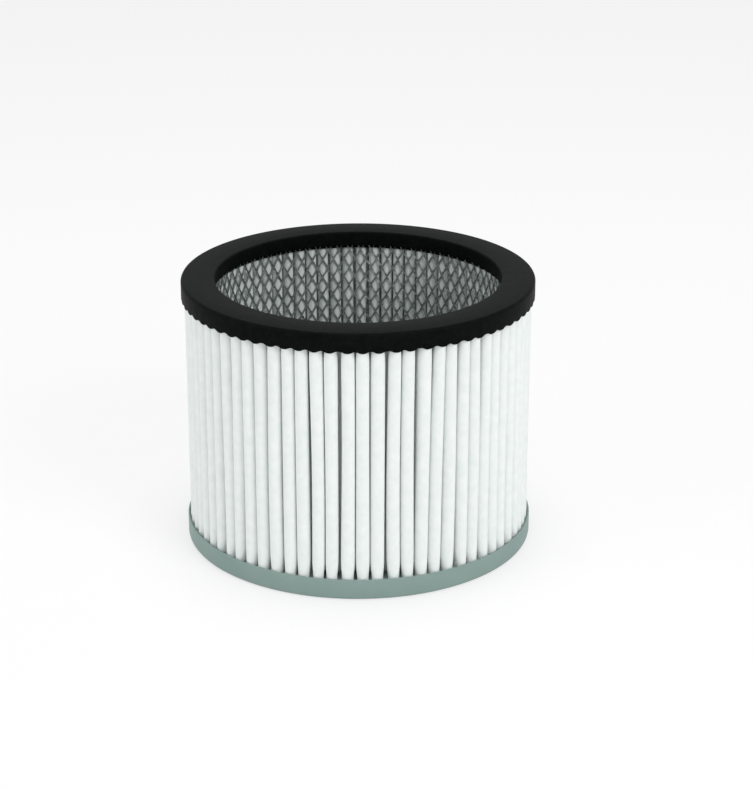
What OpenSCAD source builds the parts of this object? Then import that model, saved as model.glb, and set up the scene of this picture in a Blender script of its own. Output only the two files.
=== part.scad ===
// Round cartridge filter for a dust extractor. A pleated pack stands round a mesh tube. Its upper end is
// cast into a soft ring that seals the open end, and its lower end is bonded into a dish that closes it.
// Millimetres. The axis is Z, and the part rests on the underside of the dish at Z = 0.

/* [Overall] */
// Height from the resting face to the sealing face
height = 120; // [112:1:130]
// Number of pleats round the pack
pleat_count = 72; // [68:1:74]

/* [Seal ring] */
// Outer diameter of the ring
seal_d = 155; // [154.8:0.1:158]
// Diameter of the opening through the ring
opening_d = 125.5; // [124.5:0.1:125.8]
// Height of the ring at its outer side
seal_h = 8.8; // [8:0.1:10]
// Height of the wall round the opening
opening_wall_h = 6.5; // [6:0.1:7]
// Radius on the outer upper edge
seal_edge_r = 1.2; // [0.8:0.1:2]
// Chamfer round the mouth of the opening
mouth_chamfer = 0.6; // [0.3:0.1:1]
// How far the pleats and the mesh reach up into the ring
seal_grip = 4.5; // [3.5:0.1:5]
// Rise of the lower edge between one pleat and the next
scallop_rise = 0.9; // [0.3:0.1:1.2]
// Width of that rise at the lower edge
scallop_w = 3.4; // [2.5:0.1:4]

/* [Pleated pack] */
// Diameter over the outer folds
pack_d = 152.4; // [152:0.1:152.6]
// Diameter inside the inner folds
pack_bore_d = 129.6; // [129.2:0.1:130]
// Thickness of the filter sheet
sheet_t = 0.7; // [0.5:0.05:0.8]
// Radius of the outer folds, over the sheet
outer_fold_r = 2.9; // [2.4:0.05:3]
// Radius of the inner folds, over the sheet
inner_fold_r = 2.4; // [2:0.05:2.5]

/* [Mesh tube] */
// Inner diameter of the mesh tube
mesh_d = 127.8; // [127:0.1:127.9]
// Thickness of the mesh
mesh_t = 0.6; // [0.5:0.1:0.7]
// Diamond openings in one row
diamonds_round = 24; // [20:1:24]
// Rows of diamond openings
diamond_rows = 5; // [3:1:5]
// Width of the strands between two openings
strand_w = 2; // [1.6:0.1:2.4]
// Uncut band of the mesh that shows at each end
mesh_band = 1; // [0.5:0.1:3]

/* [End cap] */
// Outer diameter of the dish
cap_d = 154.6; // [154.4:0.1:154.8]
// Height of the dish
cap_h = 9.2; // [8.8:0.1:11]
// Thickness of the outer rim
rim_t = 0.8; // [0.7:0.1:0.9]
// Thickness of the floor and of the middle panel
cap_t = 1.6; // [1.2:0.1:2]
// Outer diameter of the wall inside the mesh tube
cap_wall_d = 124.4; // [124:0.1:124.8]
// How far the middle panel is raised above the resting face
panel_rise = 2.4; // [1.6:0.1:3]
// Radius on the lower outer edge
cap_edge_r = 1.4; // [1:0.1:1.6]

/* [Bonding bed] */
// Depth from the rim down to the bonding
bed_below_rim = 0.9; // [0.5:0.1:1.5]
// Bonding under the ends of the pleats and the mesh
bed_under_pleats = 1.2; // [0.8:0.1:1.6]

/* [Hidden] */

// Smoothness of the round walls
round_fn = 180;
// Straight steps in an outer fold and in an inner fold, on the convex side of the sheet
outer_steps = 6;
inner_steps = 5;
// Straight steps on the concave side of a fold
hollow_steps = 2;
// Straight steps in a rounded edge
edge_steps = 4;
// Overrun of a cutting shape past the face it cuts
cut = 1;

seal_r = seal_d / 2;
opening_r = opening_d / 2;
mesh_inner_r = mesh_d / 2;
mesh_outer_r = mesh_inner_r + mesh_t;
cap_r = cap_d / 2;
cap_wall_r = cap_wall_d / 2;

seal_z = height - seal_h;
opening_wall_z = height - opening_wall_h;
embed_top_z = seal_z + seal_grip;
embed_bottom_z = cap_t + bed_under_pleats;
embed_h = embed_top_z - embed_bottom_z;
bed_top_z = cap_h - bed_below_rim;
mesh_free_bottom_z = bed_top_z + mesh_band;
mesh_free_top_z = opening_wall_z - mesh_band;

// The sheet runs round an outer fold, leans back along a straight flank and turns round an inner fold.
pleat_step = 360 / pleat_count;
outer_fold_at = [pack_d / 2 - outer_fold_r, 0];
inner_fold_at = (pack_bore_d / 2 + inner_fold_r) * [cos(pleat_step / 2), sin(pleat_step / 2)];
fold_gap = inner_fold_at - outer_fold_at;
// Angle at which the flank leaves the outer fold, as the common tangent of the two folds
flank_angle = atan2(fold_gap[1], fold_gap[0]) - acos((outer_fold_r + inner_fold_r - sheet_t) / norm(fold_gap));

// Points on an arc from angle a0 to angle a1
function arc(at, r, a0, a1, steps) =
    [for (i = [0:steps]) let(a = a0 + (a1 - a0) * i / steps) at + r * [cos(a), sin(a)]];

// A point turned round the axis
function turned(p, a) = [p[0] * cos(a) - p[1] * sin(a), p[0] * sin(a) + p[1] * cos(a)];

// One pleat's share of an outline: round the outer fold, then round the inner fold beside it
function pleat_line(r_out, steps_out, r_in, steps_in) = concat(
    arc(outer_fold_at, r_out, -flank_angle, flank_angle, steps_out),
    arc(inner_fold_at, r_in, 180 + flank_angle, 180 + pleat_step - flank_angle, steps_in));

// The same share repeated round the pack
function pack_line(share) = [for (k = [0:pleat_count - 1]) for (p = share) turned(p, k * pleat_step)];

module pleat_section() {
    difference() {
        polygon(pack_line(pleat_line(outer_fold_r, outer_steps, inner_fold_r - sheet_t, hollow_steps)));
        polygon(pack_line(pleat_line(outer_fold_r - sheet_t, hollow_steps, inner_fold_r, inner_steps)));
    }
}

module tube(r_in, r_out, h) {
    difference() {
        cylinder(r = r_out, h = h, $fn = round_fn);
        translate([0, 0, -cut]) cylinder(r = r_in, h = h + 2 * cut, $fn = round_fn);
    }
}

// What the ring and the bonding are cast round: the ends of the pleats and of the mesh
module embedded_ends() {
    translate([0, 0, embed_bottom_z]) linear_extrude(embed_h) pleat_section();
    translate([0, 0, embed_bottom_z]) tube(mesh_inner_r, mesh_outer_r, embed_h);
}

module seal_profile() {
    polygon(concat(
        [[opening_r, opening_wall_z], [mesh_inner_r, opening_wall_z], [mesh_inner_r, seal_z], [seal_r, seal_z]],
        arc([seal_r - seal_edge_r, height - seal_edge_r], seal_edge_r, 0, 90, edge_steps),
        [[opening_r + mouth_chamfer, height], [opening_r, height - mouth_chamfer]]));
}

// The lower edge of the ring lies lower on the pleats than between them
module scallops() {
    top_half_w = scallop_w / 5;
    low_half_w = top_half_w + (scallop_w / 2 - top_half_w) * (scallop_rise + cut) / scallop_rise;
    for (k = [0:pleat_count - 1])
        rotate([0, 0, (k + 0.5) * pleat_step])
            translate([outer_fold_at[0], 0, seal_z])
                rotate([90, 0, 90])
                    linear_extrude(seal_r)
                        polygon([[-low_half_w, -cut], [-top_half_w, scallop_rise],
                            [top_half_w, scallop_rise], [low_half_w, -cut]]);
}

module seal_ring() {
    color("#151716")
        difference() {
            rotate_extrude($fn = round_fn) seal_profile();
            embedded_ends();
            scallops();
        }
}

module pleated_pack() {
    color("#e9efec")
        translate([0, 0, embed_bottom_z]) linear_extrude(embed_h) pleat_section();
}

// Openings in staggered rows, as in expanded metal
module diamonds() {
    pitch = 360 / diamonds_round;
    w = 2 * PI * mesh_outer_r / diamonds_round;
    row_step = (mesh_free_top_z - mesh_free_bottom_z) / diamond_rows;
    slope = atan2(row_step, w / 2);
    half_w = w / 2 - strand_w / 2 / sin(slope);
    half_h = row_step - strand_w / 2 / cos(slope);
    for (row = [0:diamond_rows - 1])
        for (k = [0:diamonds_round - 1])
            rotate([0, 0, (k + (row % 2) / 2) * pitch])
                translate([opening_r - cut, 0, mesh_free_bottom_z + (row + 0.5) * row_step])
                    rotate([90, 0, 90])
                        linear_extrude(mesh_outer_r - opening_r + 2 * cut)
                            polygon([[half_w, 0], [0, half_h], [-half_w, 0], [0, -half_h]]);
}

// An expanded tube whose ends run on, uncut, into the ring and the bonding
module mesh_tube() {
    color("#8f9a97") {
        difference() {
            translate([0, 0, embed_bottom_z]) tube(mesh_inner_r, mesh_outer_r, embed_h);
            diamonds();
        }
        translate([0, 0, embed_bottom_z])
            tube(mesh_inner_r, mesh_outer_r, mesh_free_bottom_z - embed_bottom_z);
        translate([0, 0, mesh_free_top_z])
            tube(mesh_inner_r, mesh_outer_r, embed_top_z - mesh_free_top_z);
    }
}

// A dish with a channel for the bonding and a raised middle panel, in one moulding
module cap_profile() {
    polygon(concat(
        [[0, panel_rise], [cap_wall_r - rim_t - cap_t - panel_rise, panel_rise], [cap_wall_r - rim_t - cap_t, 0]],
        arc([cap_r - cap_edge_r, cap_edge_r], cap_edge_r, -90, 0, edge_steps),
        [[cap_r, cap_h], [cap_r - rim_t, cap_h], [cap_r - rim_t, cap_t], [cap_wall_r, cap_t],
            [cap_wall_r, bed_top_z + rim_t / 2], [cap_wall_r - rim_t, bed_top_z + rim_t / 2],
            [cap_wall_r - rim_t, panel_rise + cap_t], [0, panel_rise + cap_t]]));
}

module end_cap() {
    color("#8d9b97")
        rotate_extrude($fn = round_fn) cap_profile();
}

module bonding_bed() {
    color("#7f8c88")
        difference() {
            translate([0, 0, cap_t]) tube(cap_wall_r, cap_r - rim_t, bed_top_z - cap_t);
            embedded_ends();
        }
}

seal_ring();
pleated_pack();
mesh_tube();
end_cap();
bonding_bed();
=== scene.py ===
import math
import random

import bpy
import numpy as np
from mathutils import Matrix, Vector


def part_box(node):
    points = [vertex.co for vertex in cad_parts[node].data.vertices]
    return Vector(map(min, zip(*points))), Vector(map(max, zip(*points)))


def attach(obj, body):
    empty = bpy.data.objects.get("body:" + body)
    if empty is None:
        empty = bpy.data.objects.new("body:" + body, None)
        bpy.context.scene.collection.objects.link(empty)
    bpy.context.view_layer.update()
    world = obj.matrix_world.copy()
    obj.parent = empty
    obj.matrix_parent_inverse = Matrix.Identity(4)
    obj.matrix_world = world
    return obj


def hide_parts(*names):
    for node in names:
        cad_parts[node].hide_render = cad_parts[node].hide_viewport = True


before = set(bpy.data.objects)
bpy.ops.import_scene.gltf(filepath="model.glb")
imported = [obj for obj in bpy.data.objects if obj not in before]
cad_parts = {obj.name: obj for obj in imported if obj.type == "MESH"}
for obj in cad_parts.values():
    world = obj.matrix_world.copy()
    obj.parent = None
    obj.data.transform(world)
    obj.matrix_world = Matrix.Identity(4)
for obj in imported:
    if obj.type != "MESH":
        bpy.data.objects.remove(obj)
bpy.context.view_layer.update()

mm = 0.001


# The view: a camera one metre off, a little over twenty degrees above the table. It aims just right of the
# filter's axis, so the filter stands left of the picture's middle, and a pleat faces the camera.
def look_from(turn, pitch, distance, aside, height, lens):
    camera = bpy.data.objects.new("camera", bpy.data.cameras.new("camera"))
    bpy.context.collection.objects.link(camera)
    aim = Vector((aside * math.cos(turn), aside * math.sin(turn), height))
    back = Vector((math.sin(turn) * math.cos(pitch), -math.cos(turn) * math.cos(pitch), math.sin(pitch)))
    camera.location = aim + back * distance
    camera.rotation_euler = (-back).to_track_quat("-Z", "Y").to_euler()
    camera.data.lens = lens
    bpy.context.scene.camera = camera


look_from(turn=math.radians(-1.9), pitch=math.radians(21.3), distance=1.0, aside=8.05 * mm,
          height=63.8 * mm, lens=102.3)
bpy.context.scene.view_settings.view_transform = "Standard"


# The table and the room: a white tent round the filter, with one large soft light from the right and front,
# a weaker one from the left and one from above. The table shows white and keeps the filter's shadow.
def node_tree(owner):
    owner.use_nodes = True
    owner.node_tree.nodes.clear()
    return owner.node_tree.nodes, owner.node_tree.links


def seen_directly(nodes, links):
    path = nodes.new("ShaderNodeLightPath")
    first = nodes.new("ShaderNodeMath")
    first.operation = "MAXIMUM"
    links.new(path.outputs["Is Camera Ray"], first.inputs[0])
    links.new(path.outputs["Is Glossy Ray"], first.inputs[1])
    either = nodes.new("ShaderNodeMath")
    either.operation = "MAXIMUM"
    links.new(first.outputs[0], either.inputs[0])
    links.new(path.outputs["Is Transmission Ray"], either.inputs[1])
    return either.outputs[0]


def white_room(daylight):
    world = bpy.data.worlds.new("white_room")
    bpy.context.scene.world = world
    nodes, links = node_tree(world)
    lit = nodes.new("ShaderNodeBackground")
    lit.inputs["Color"].default_value = (1.0, 1.0, 1.0, 1.0)
    lit.inputs["Strength"].default_value = daylight
    shown = nodes.new("ShaderNodeBackground")
    shown.inputs["Color"].default_value = (1.0, 1.0, 1.0, 1.0)
    shown.inputs["Strength"].default_value = 1.0
    mix = nodes.new("ShaderNodeMixShader")
    links.new(seen_directly(nodes, links), mix.inputs[0])
    links.new(lit.outputs[0], mix.inputs[1])
    links.new(shown.outputs[0], mix.inputs[2])
    out = nodes.new("ShaderNodeOutputWorld")
    links.new(mix.outputs[0], out.inputs["Surface"])


def soft_light(name, place, size, power):
    lamp = bpy.data.lights.new(name, "AREA")
    lamp.shape = "DISK"
    lamp.size = size
    lamp.energy = power
    light = bpy.data.objects.new(name, lamp)
    bpy.context.collection.objects.link(light)
    light.location = place
    light.rotation_euler = (Vector((0, 0, 0.06)) - Vector(place)).to_track_quat("-Z", "Y").to_euler()


def white_table(radius, shadow_share):
    table = bpy.data.objects.new("table", bpy.data.meshes.new("table"))
    bpy.context.collection.objects.link(table)
    rim = [(radius * math.cos(math.tau * i / 96), radius * math.sin(math.tau * i / 96), -0.2 * mm)
           for i in range(96)]
    table.data.from_pydata(rim, [], [range(96)])
    material = bpy.data.materials.new("white_table")
    nodes, links = node_tree(material)
    paper = nodes.new("ShaderNodeBsdfDiffuse")
    paper.inputs["Color"].default_value = (0.9, 0.9, 0.9, 1.0)
    glow = nodes.new("ShaderNodeEmission")
    glow.inputs["Strength"].default_value = 1.0
    share = nodes.new("ShaderNodeMath")
    share.operation = "MULTIPLY"
    links.new(seen_directly(nodes, links), share.inputs[0])
    share.inputs[1].default_value = 1.0 - shadow_share
    mix = nodes.new("ShaderNodeMixShader")
    links.new(share.outputs[0], mix.inputs[0])
    links.new(paper.outputs[0], mix.inputs[1])
    links.new(glow.outputs[0], mix.inputs[2])
    out = nodes.new("ShaderNodeOutputMaterial")
    links.new(mix.outputs[0], out.inputs["Surface"])
    table.data.materials.append(material)


white_room(daylight=0.62)
soft_light("light_right", (0.9, -1.1, 1.0), 0.9, 9.0)
soft_light("light_left", (-1.2, -0.5, 0.6), 0.9, 3.0)
soft_light("light_above", (0.0, 0.1, 1.5), 0.8, 6.0)
white_table(radius=6.0, shadow_share=0.35)


# The pleated pack: one long sheet of white polyester fleece, folded into pleats and closed into a ring. Its
# folds are loose loops that press on each other, and they are nipped where the cap and the ring hold them.
def add_piece(name, points, faces):
    mesh = bpy.data.meshes.new(name)
    mesh.from_pydata([tuple(p) for p in points], [], [tuple(f) for f in faces])
    mesh.validate()
    mesh.shade_smooth()
    piece = bpy.data.objects.new(name, mesh)
    bpy.context.collection.objects.link(piece)
    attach(piece, "root")
    return piece


def eased(t):
    t = np.clip(t, 0.0, 1.0)
    return t * t * (3.0 - 2.0 * t)


def tangent_angle(d, reach, side):
    return np.arctan2(d[:, 1], d[:, 0]) - side * np.arccos(np.clip(reach / np.hypot(d[:, 0], d[:, 1]), -1, 1))


def near(angle, about):
    return about + (angle - about + math.pi) % math.tau - math.pi


pack_low, pack_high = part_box("pleated_pack")
ring_low, ring_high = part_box("seal_ring")
cap_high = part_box("end_cap")[1]
bed_low, bed_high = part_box("bonding_bed")
pleat_count = 72
fleece_t = 0.7 * mm
crest_r = 76.2 * mm
pack_bore_r = 64.8 * mm
crest_fold_r = 2.75 * mm
inner_fold_r = 2.1 * mm
fold_clearance = 0.12 * mm
crest_points = 13
inner_points = 9
# Heights at which the sheet has points, closer together where its ends are held
pack_levels = [pack_low.z, 5 * mm, 7 * mm, bed_high.z, 9.4 * mm, 10.8 * mm, 12.6 * mm, 15 * mm, 18.5 * mm,
               24 * mm, 32 * mm, 42 * mm, 52 * mm, 62 * mm, 72 * mm, 82 * mm, 91 * mm, 98 * mm, 103.5 * mm,
               107.5 * mm, ring_low.z - 0.8 * mm, ring_low.z + 1.2 * mm, pack_high.z]

chance = random.Random(7)
pleat_offset = np.radians([chance.uniform(-0.34, 0.34) for _ in range(pleat_count)])
pleat_lean = np.radians([chance.uniform(-0.25, 0.25) for _ in range(pleat_count)])
pleat_sway = np.radians([chance.uniform(-0.22, 0.22) for _ in range(pleat_count)])
pleat_phase = np.array([chance.uniform(0, math.tau) for _ in range(pleat_count)])
pleat_dent = np.array([chance.uniform(0.0, 0.22) for _ in range(pleat_count)]) * mm
pleat_home = np.radians(-90) + np.arange(pleat_count) * math.tau / pleat_count
# Two stretches of pleats lean together, where the pack was pulled a little as the ring was cast. Their places
# and widths are in degrees from the front.
front_pull_at = 26
front_pull_width = 9
back_pull_at = 190
back_pull_width = 14
back_pull_share = 0.5
full_pull = np.radians(1.5)
from_front = np.degrees(pleat_home) + 90
front_pull = np.exp(-((from_front - front_pull_at) / front_pull_width) ** 2)
back_pull = back_pull_share * np.exp(-((from_front - back_pull_at) / back_pull_width) ** 2)
pull = front_pull + back_pull


def crest_angle(z):
    up = (z - pack_low.z) / (pack_high.z - pack_low.z)
    return (pleat_home + pleat_offset + pleat_lean * (up - 0.5) + full_pull * pull * (up - 0.5)
            + pleat_sway * np.sin(pleat_phase + 5.0 * up))


def pack_row(z):
    """The sheet's middle line round the pack at height z, with the sheet's outward normal at each point."""
    angle = crest_angle(z)
    low_nip = 0.2 * eased((bed_high.z + 8 * mm - z) / (8 * mm))
    high_nip = 0.1 * eased((z - ring_low.z + 5 * mm) / (5 * mm))
    nip = 1.0 - low_nip - high_nip
    step_before = np.abs(angle - near(np.roll(angle, 1), angle))
    step_after = np.abs(near(np.roll(angle, -1), angle) - angle)
    step = 0.5 * np.minimum(step_before, step_after)
    room = (crest_r - crest_fold_r) * step - 0.5 * fleece_t - fold_clearance
    fold = np.minimum(crest_fold_r, room) * nip
    dent = pleat_dent * eased((z - bed_high.z) / (12 * mm)) * eased((ring_low.z - z) / (12 * mm))
    crest = (crest_r - 0.5 * fleece_t - fold - dent)[:, None] * np.stack([np.cos(angle), np.sin(angle)], 1)
    after = near(np.roll(angle, -1), angle)
    between = 0.5 * (angle + after)
    inner_step = 0.5 * np.minimum(np.abs(between - near(np.roll(between, 1), between)),
                                  np.abs(near(np.roll(between, -1), between) - between))
    inner_room = (pack_bore_r + inner_fold_r) * inner_step - 0.5 * fleece_t - fold_clearance
    inner = np.minimum(inner_fold_r, inner_room)
    valley = (pack_bore_r + 0.5 * fleece_t + inner)[:, None] * np.stack([np.cos(between), np.sin(between)], 1)
    leave = near(tangent_angle(valley - crest, fold + inner, 1), angle)
    arrive = near(tangent_angle(np.roll(valley, 1, 0) - crest, fold + np.roll(inner, 1), -1), angle)
    line, normal = [], []
    for k in range(pleat_count):
        a = np.linspace(arrive[k], leave[k], crest_points)
        n = np.stack([np.cos(a), np.sin(a)], 1)
        line.append(crest[k] + fold[k] * n)
        normal.append(n)
        start = leave[k]
        end = near(arrive[(k + 1) % pleat_count], between[k])
        b = np.linspace(start, end, inner_points)
        n = np.stack([np.cos(b), np.sin(b)], 1)
        line.append(valley[k] - inner[k] * n)
        normal.append(n)
    return np.concatenate(line), np.concatenate(normal)


def pleated_sheet():
    outside, inside = [], []
    for z in pack_levels:
        line, normal = pack_row(z)
        for side, rows in ((0.5, outside), (-0.5, inside)):
            flat = line + side * fleece_t * normal
            rows.append(np.column_stack([flat, np.full(len(flat), z)]))
    count = len(outside[0])
    rows = len(pack_levels)
    points = np.concatenate(outside + inside)
    faces = []
    for j in range(rows - 1):
        for i in range(count):
            n = (i + 1) % count
            a, b = j * count, (j + 1) * count
            faces.append((a + i, a + n, b + n, b + i))
            c, d = (rows + j) * count, (rows + j + 1) * count
            faces.append((c + n, c + i, d + i, d + n))
    for i in range(count):
        n = (i + 1) % count
        faces.append((n, i, rows * count + i, rows * count + n))
        t = (rows - 1) * count
        u = (2 * rows - 1) * count
        faces.append((t + i, t + n, u + n, u + i))
    return points, faces


def new_finish(name, colour, roughness):
    material = bpy.data.materials.new(name)
    nodes, links = node_tree(material)
    shader = nodes.new("ShaderNodeBsdfPrincipled")
    shader.inputs["Base Color"].default_value = (*colour, 1.0)
    shader.inputs["Roughness"].default_value = roughness
    out = nodes.new("ShaderNodeOutputMaterial")
    links.new(shader.outputs[0], out.inputs["Surface"])
    return material, nodes, links, shader


def speckle(nodes, links, scale, detail=3.0, stretch=(1.0, 1.0, 1.0)):
    place = nodes.new("ShaderNodeTexCoord")
    fit = nodes.new("ShaderNodeMapping")
    fit.inputs["Scale"].default_value = stretch
    links.new(place.outputs["Object"], fit.inputs["Vector"])
    noise = nodes.new("ShaderNodeTexNoise")
    noise.inputs["Scale"].default_value = scale
    noise.inputs["Detail"].default_value = detail
    links.new(fit.outputs["Vector"], noise.inputs["Vector"])
    return noise.outputs["Fac"]


def graded(nodes, links, value, stops):
    ramp = nodes.new("ShaderNodeValToRGB")
    ramp.color_ramp.elements[0].position = stops[0][0]
    ramp.color_ramp.elements[0].color = (*stops[0][1], 1.0)
    ramp.color_ramp.elements[1].position = stops[-1][0]
    ramp.color_ramp.elements[1].color = (*stops[-1][1], 1.0)
    for position, colour in stops[1:-1]:
        ramp.color_ramp.elements.new(position).color = (*colour, 1.0)
    links.new(value, ramp.inputs["Fac"])
    return ramp.outputs["Color"]


def rough_skin(nodes, links, shader, height, depth, strength):
    bump = nodes.new("ShaderNodeBump")
    bump.inputs["Strength"].default_value = strength
    bump.inputs["Distance"].default_value = depth
    links.new(height, bump.inputs["Height"])
    links.new(bump.outputs["Normal"], shader.inputs["Normal"])


def white_fleece():
    material, nodes, links, shader = new_finish("white_fleece", (0.84, 0.88, 0.865), 0.85)
    mottle = speckle(nodes, links, 260.0, 4.0)
    links.new(graded(nodes, links, mottle, [(0.3, (0.80, 0.845, 0.83)), (0.7, (0.86, 0.895, 0.882))]),
              shader.inputs["Base Color"])
    rough_skin(nodes, links, shader, speckle(nodes, links, 1500.0, 5.0, (1.0, 1.0, 0.35)), 0.12 * mm, 0.5)
    shader.inputs["Specular IOR Level"].default_value = 0.2
    return material


pleats = add_piece("pleated_fleece", *pleated_sheet())
pleats.data.materials.append(white_fleece())
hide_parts("pleated_pack")


# The seal ring: soft black polyurethane, cast in one pour round the upper ends of the pleats and the mesh. It
# creeps down a little on each crest, so its lower edge is scalloped, and its moulded edges are round.
def rounded(corners, steps=5):
    """A closed outline through corners (r, z, radius), each turned with its radius."""
    line = []
    for i, (r, z, radius) in enumerate(corners):
        at = np.array((r, z))
        if radius == 0:
            line.append(at)
            continue
        before = np.array(corners[i - 1][:2]) - at
        after = np.array(corners[(i + 1) % len(corners)][:2]) - at
        before /= np.linalg.norm(before)
        after /= np.linalg.norm(after)
        half = 0.5 * math.acos(float(np.clip(before @ after, -1, 1)))
        middle = (before + after) / np.linalg.norm(before + after)
        centre = at + middle * radius / math.sin(half)
        first = at + before * radius / math.tan(half) - centre
        last = at + after * radius / math.tan(half) - centre
        a0 = math.atan2(first[1], first[0])
        turn = near(math.atan2(last[1], last[0]), a0) - a0
        for s in range(steps + 1):
            a = a0 + turn * s / steps
            line.append(centre + radius * np.array((math.cos(a), math.sin(a))))
    return np.array(line)


def turned_round(section, steps):
    """A closed ring or dish: section(angle) gives its outline (r, z) at each step round the axis."""
    rows = [section(math.tau * i / steps) for i in range(steps)]
    count = len(rows[0])
    points = np.concatenate([np.column_stack([row[:, 0] * math.cos(math.tau * i / steps),
                                              row[:, 0] * math.sin(math.tau * i / steps), row[:, 1]])
                             for i, row in enumerate(rows)])
    faces = []
    for i in range(steps):
        n = (i + 1) % steps
        for j in range(count):
            m = (j + 1) % count
            faces.append((i * count + j, n * count + j, n * count + m, i * count + m))
    return points, faces


seal_r = ring_high.x
opening_r = 62.75 * mm
opening_wall_h = 6.5 * mm
mesh_r = 64.2 * mm
scallop_rise = 0.9 * mm
scallop_angles = crest_angle(ring_low.z)


def seal_section(angle):
    off_crest = np.min(np.abs(near(scallop_angles, angle) - angle)) / (math.tau / pleat_count / 2)
    lower = ring_low.z + scallop_rise * eased((off_crest - 0.15) / 0.8)
    wall = ring_high.z - opening_wall_h
    return rounded([
        (opening_r, wall, 0.3 * mm), (mesh_r - 0.2 * mm, wall, 0.0),
        (mesh_r - 0.2 * mm, ring_low.z + scallop_rise, 0.0),
        (crest_r - 4.5 * mm, ring_low.z + scallop_rise, 0.0), (crest_r - 2 * mm, lower, 0.0),
        (seal_r, lower, 0.5 * mm), (seal_r, ring_high.z, 1.3 * mm), (opening_r, ring_high.z, 0.8 * mm)])


def black_polyurethane():
    material, nodes, links, shader = new_finish("black_polyurethane", (0.0035, 0.004, 0.004), 0.5)
    mottle = speckle(nodes, links, 420.0, 4.0)
    links.new(graded(nodes, links, mottle, [(0.35, (0.0025, 0.003, 0.003)), (0.7, (0.005, 0.006, 0.006))]),
              shader.inputs["Base Color"])
    rough_skin(nodes, links, shader, speckle(nodes, links, 900.0, 4.0), 0.1 * mm, 0.25)
    shader.inputs["IOR"].default_value = 1.09
    return material


seal = add_piece("cast_seal", *turned_round(seal_section, 10 * pleat_count))
seal.data.materials.append(black_polyurethane())
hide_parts("seal_ring")


# The mesh tube: zinc-coated steel sheet, slit and drawn out into diamonds, then rolled. Each strand is tipped
# out of the sheet's plane, as drawing leaves it. Both ends stand in the ring and in the bonding.
def expanded_metal():
    columns, rows = 80, 26
    strand = 0.62 * mm
    bond = 1.5
    tip = 0.16 * mm
    low, high = 3.0 * mm, pack_high.z - 0.3 * mm
    row_h = (high - low) / rows
    column_w = math.tau * mesh_r / columns
    length = math.hypot(row_h, column_w / 2)
    across = strand * length / (2 * row_h)
    along = bond * strand * length / column_w
    points, faces = [], []

    def spot(s, z, out):
        a = s / mesh_r + 0.6 * mm / mesh_r * math.sin(z / (31 * mm))
        points.append(((mesh_r + out) * math.cos(a), (mesh_r + out) * math.sin(a), z))
        return len(points) - 1

    bonds = {}
    for j in range(rows + 1):
        for i in range(columns):
            s, z = (i + 0.5 * (j % 2)) * column_w, low + j * row_h
            bonds[i, j] = (spot(s, z + along, tip), spot(s + across, z, 0),
                           spot(s, z - along, -tip), spot(s - across, z, 0))
            faces.append(bonds[i, j][::-1])
    for (i, j), (top, right, bottom, left) in bonds.items():
        if j == rows:
            continue
        s, z = (i + 0.5 * (j % 2)) * column_w, low + j * row_h
        for side in (1, -1):
            to = bonds[(i + (j % 2) + (0 if side == 1 else -1)) % columns, j + 1]
            mid_s, mid_z = s + side * column_w / 4, z + row_h / 2
            upper = spot(mid_s - side * 0.5 * across, mid_z + 0.3 * strand, tip)
            lower = spot(mid_s + side * 0.5 * across, mid_z - 0.3 * strand, -tip)
            edge = right if side == 1 else left
            far = (to[3], to[2]) if side == 1 else (to[1], to[2])
            quads = [(top, edge, lower, upper), (upper, lower, far[1], far[0])]
            faces += [q[::side] for q in quads]
    return points, faces


def dull_zinc():
    material, nodes, links, shader = new_finish("dull_zinc", (0.2, 0.23, 0.22), 0.5)
    cloud = speckle(nodes, links, 180.0, 3.0)
    links.new(graded(nodes, links, cloud, [(0.35, (0.13, 0.155, 0.15)), (0.7, (0.24, 0.27, 0.26))]),
              shader.inputs["Base Color"])
    shader.inputs["Metallic"].default_value = 0.7
    return material


mesh_lattice = add_piece("expanded_mesh", *expanded_metal())
mesh_lattice.data.shade_flat()
gauge = mesh_lattice.modifiers.new("gauge", "SOLIDIFY")
gauge.thickness = 0.45 * mm
gauge.offset = 0.0
mesh_lattice.data.materials.append(dull_zinc())
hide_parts("mesh_tube")


# The end cap: a shallow dish moulded in grey plastic, with a thin outer rim, a low wall inside the mesh and a
# raised middle that closes the bore. The channel between rim and wall holds the bonding.
cap_r = cap_high.x
cap_h = cap_high.z
rim_t = 0.8 * mm
floor_t = 1.6 * mm
cap_wall_r = 62.2 * mm
panel_rise = 2.4 * mm


def cap_section(angle):
    slope_r = cap_wall_r - rim_t - floor_t
    wall_h = bed_high.z + 0.4 * mm
    return rounded([
        (0.0, panel_rise, 0.0), (slope_r - panel_rise, panel_rise, 0.8 * mm), (slope_r, 0.0, 0.5 * mm),
        (cap_r, 0.0, 1.4 * mm), (cap_r, cap_h, 0.3 * mm), (cap_r - rim_t, cap_h, 0.3 * mm),
        (cap_r - rim_t, floor_t, 0.4 * mm), (cap_wall_r, floor_t, 0.4 * mm), (cap_wall_r, wall_h, 0.3 * mm),
        (cap_wall_r - rim_t, wall_h, 0.3 * mm), (cap_wall_r - rim_t, panel_rise + floor_t, 0.6 * mm),
        (0.0, panel_rise + floor_t, 0.0)], steps=4)


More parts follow.
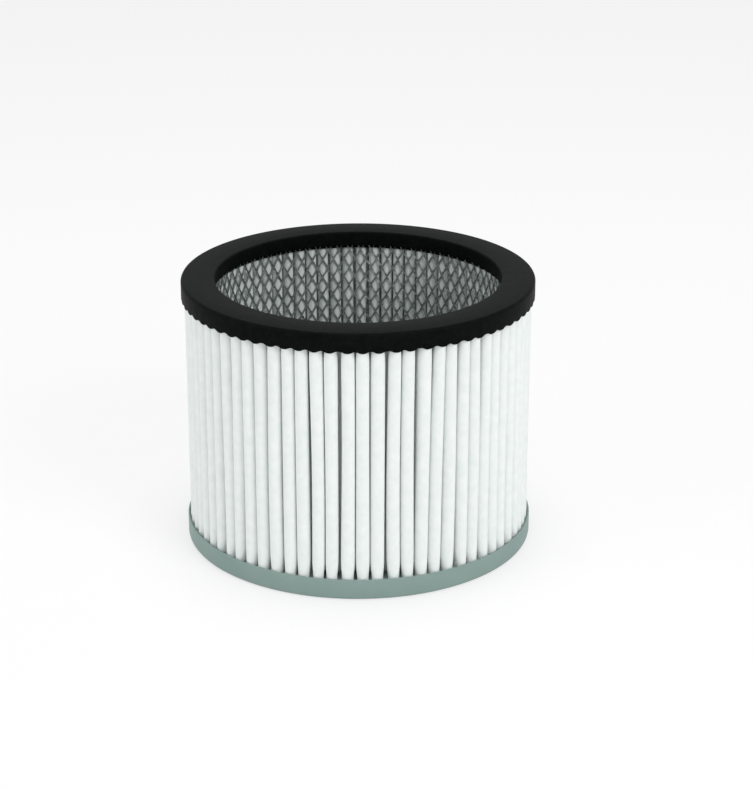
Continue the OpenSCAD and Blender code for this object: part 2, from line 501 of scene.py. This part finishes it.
def grey_moulding():
    material, nodes, links, shader = new_finish("grey_moulding", (0.235, 0.325, 0.30), 0.55)
    cloud = speckle(nodes, links, 60.0, 3.0)
    links.new(graded(nodes, links, cloud, [(0.3, (0.225, 0.315, 0.292)), (0.7, (0.25, 0.335, 0.31))]),
              shader.inputs["Base Color"])
    rough_skin(nodes, links, shader, speckle(nodes, links, 1800.0, 3.0), 0.04 * mm, 0.25)
    shader.inputs["Specular IOR Level"].default_value = 0.3
    return material


cap = add_piece("moulded_cap", *turned_round(cap_section, 288))
cap.data.materials.append(grey_moulding())
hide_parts("end_cap")


# The bonding: grey adhesive poured into the dish, just short of its rim. It sets with a skin that climbs a
# little at the rim and on every fold that stands in it.
def bed_section(angle):
    off_crest = np.min(np.abs(near(bed_crests, angle) - angle)) / (math.tau / pleat_count / 2)
    climb = 0.35 * mm * (1.0 - eased(off_crest / 0.9))
    top = bed_high.z - 0.35 * mm
    inner, outer = cap_wall_r - 0.1 * mm, cap_r - rim_t + 0.1 * mm
    return np.array([(inner, bed_low.z - 0.05 * mm), (outer, bed_low.z - 0.05 * mm), (outer, top + 0.35 * mm),
                     (outer - 0.5 * mm, top + 0.12 * mm + climb * 0.6), (crest_r - 1.6 * mm, top + climb),
                     (crest_r - 4 * mm, top), (mesh_r + 1.0 * mm, top), (mesh_r, top + 0.3 * mm),
                     (mesh_r - 0.8 * mm, top), (inner, top + 0.3 * mm)])


def set_adhesive():
    material, nodes, links, shader = new_finish("set_adhesive", (0.25, 0.32, 0.30), 0.4)
    cloud = speckle(nodes, links, 150.0, 3.0)
    links.new(graded(nodes, links, cloud, [(0.3, (0.22, 0.29, 0.27)), (0.7, (0.29, 0.36, 0.34))]),
              shader.inputs["Base Color"])
    rough_skin(nodes, links, shader, speckle(nodes, links, 500.0, 3.0), 0.1 * mm, 0.3)
    return material


bed_crests = crest_angle(bed_high.z)
bed = add_piece("poured_bonding", *turned_round(bed_section, 10 * pleat_count))
bed.data.materials.append(set_adhesive())
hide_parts("bonding_bed")
